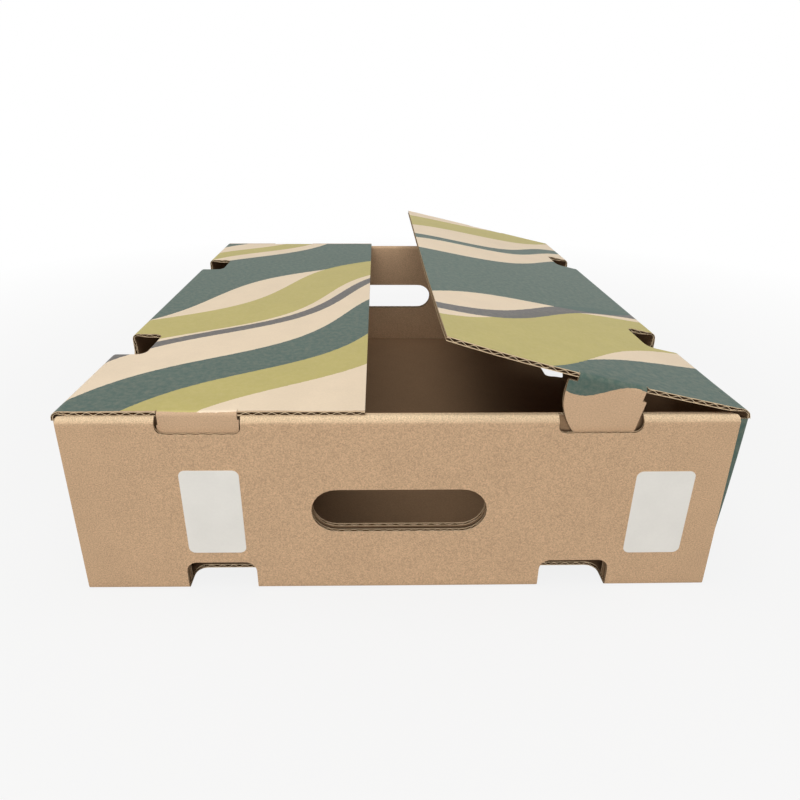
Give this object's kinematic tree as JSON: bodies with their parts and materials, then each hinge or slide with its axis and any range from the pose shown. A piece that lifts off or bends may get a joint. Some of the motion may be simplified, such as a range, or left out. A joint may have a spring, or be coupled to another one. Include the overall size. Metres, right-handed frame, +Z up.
{
  "type": "fruit box",
  "caption": "Folded corrugated fruit tray with double end walls, hand holes, stacking notches and printed top flaps that tuck into slots in the ends.",
  "frame": {"origin": "centre of the floor's underside", "axes": "+Z up, +Y from the labelled front end to the back end, +X from the left side wall to the right one as the front is faced"},
  "size_m": [0.343, 0.4132, 0.1429],
  "materials": {
    "tray_board": "bare brown kraft liner, matt",
    "printed_board": "kraft liner printed in flat greens and grey, matt",
    "label_paper": "plain white label paper, matt"
  },
  "bodies": {
    "tray": {"tray": "tray_board", "left_label": "label_paper", "right_label": "label_paper"},
    "left_flap": {"left_flap": "printed_board"},
    "right_flap": {"right_flap": "printed_board"}
  },
  "joints": [
    {"name": "left_flap_fold", "type": "hinge", "parent": "tray", "child": "left_flap", "pos_m": [-0.1708, 0, 0.1077], "axis": [0, -1, 0], "range_deg": [0, 175]},
    {"name": "right_flap_fold", "type": "hinge", "parent": "tray", "child": "right_flap", "pos_m": [0.1708, 0, 0.1077], "axis": [0, 1, 0], "range_deg": [-12.9, 162.1]}
  ]
}
